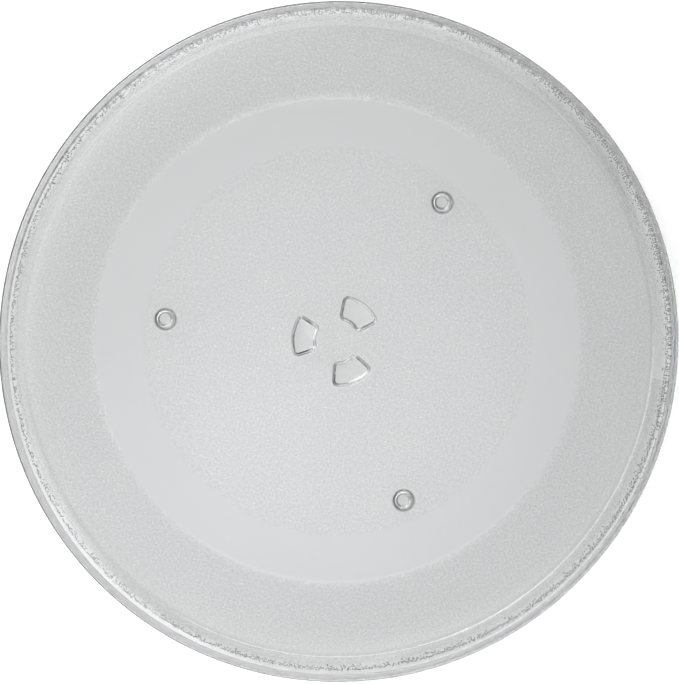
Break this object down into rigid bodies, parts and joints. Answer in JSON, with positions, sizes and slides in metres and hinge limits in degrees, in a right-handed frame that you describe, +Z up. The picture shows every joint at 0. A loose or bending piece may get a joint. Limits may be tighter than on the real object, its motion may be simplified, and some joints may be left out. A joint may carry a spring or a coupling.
{
  "type": "microwave turntable plate",
  "caption": "Round clear glass dish with a sloping rim, feet, a smooth roller track and drive lugs underneath, which turns food in a microwave oven.",
  "frame": {"origin": "on the plate's axis, at the level of the foot tips", "axes": "+Z up along the plate's axis, out of the food face; -X through one of the feet"},
  "size_m": [0.3587, 0.3588, 0.021],
  "materials": {
    "clear_glass": "clear pressed glass, fine stipple underneath, smooth roller track and lip"
  },
  "bodies": {
    "root": {"glass_plate": "clear_glass"}
  },
  "joints": []
}
